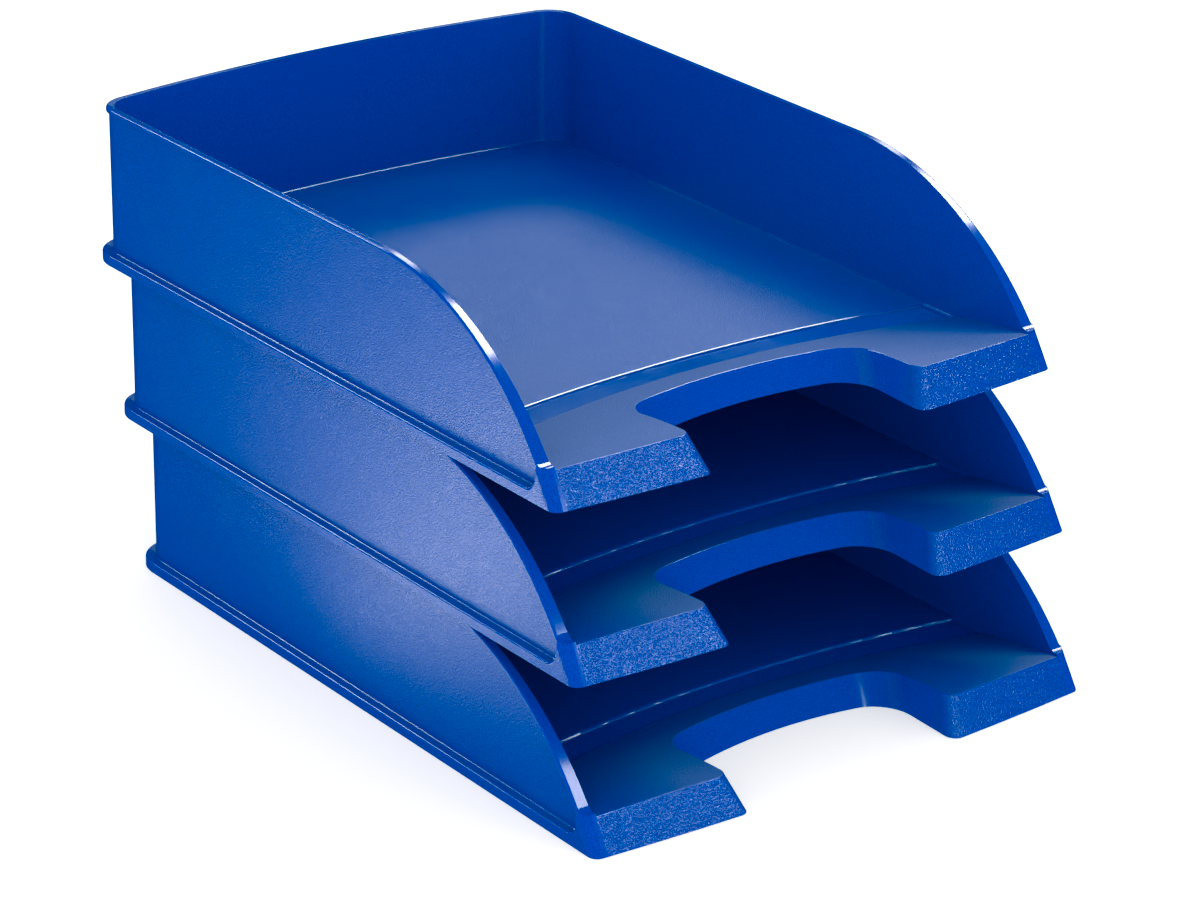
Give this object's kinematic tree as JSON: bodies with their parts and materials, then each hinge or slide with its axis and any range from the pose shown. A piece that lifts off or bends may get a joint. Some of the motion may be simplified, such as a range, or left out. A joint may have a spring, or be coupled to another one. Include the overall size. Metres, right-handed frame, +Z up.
{
  "type": "stackable letter tray",
  "caption": "Stack of open-front A4 letter trays with curved side walls and a finger cut-out in each lip, each tray lifting off the one below.",
  "frame": {"origin": "centre of the stack's footprint, on the surface it stands on", "axes": "+Z up, front of the trays towards -Y, width along X"},
  "size_m": [0.255, 0.3838, 0.2058],
  "materials": {
    "tray_plastic": "satin blue polystyrene with a fine moulded grain"
  },
  "bodies": {
    "lower_tray": {"lower_tray": "tray_plastic"},
    "middle_tray": {"middle_tray": "tray_plastic"},
    "upper_tray": {"upper_tray": "tray_plastic"}
  },
  "joints": [
    {"name": "middle_lift", "type": "slide", "parent": "lower_tray", "child": "middle_tray", "axis": [0, 0, 1], "range_m": [0, 0.12]},
    {"name": "upper_lift", "type": "slide", "parent": "middle_tray", "child": "upper_tray", "axis": [0, 0, 1], "range_m": [0, 0.12]}
  ]
}
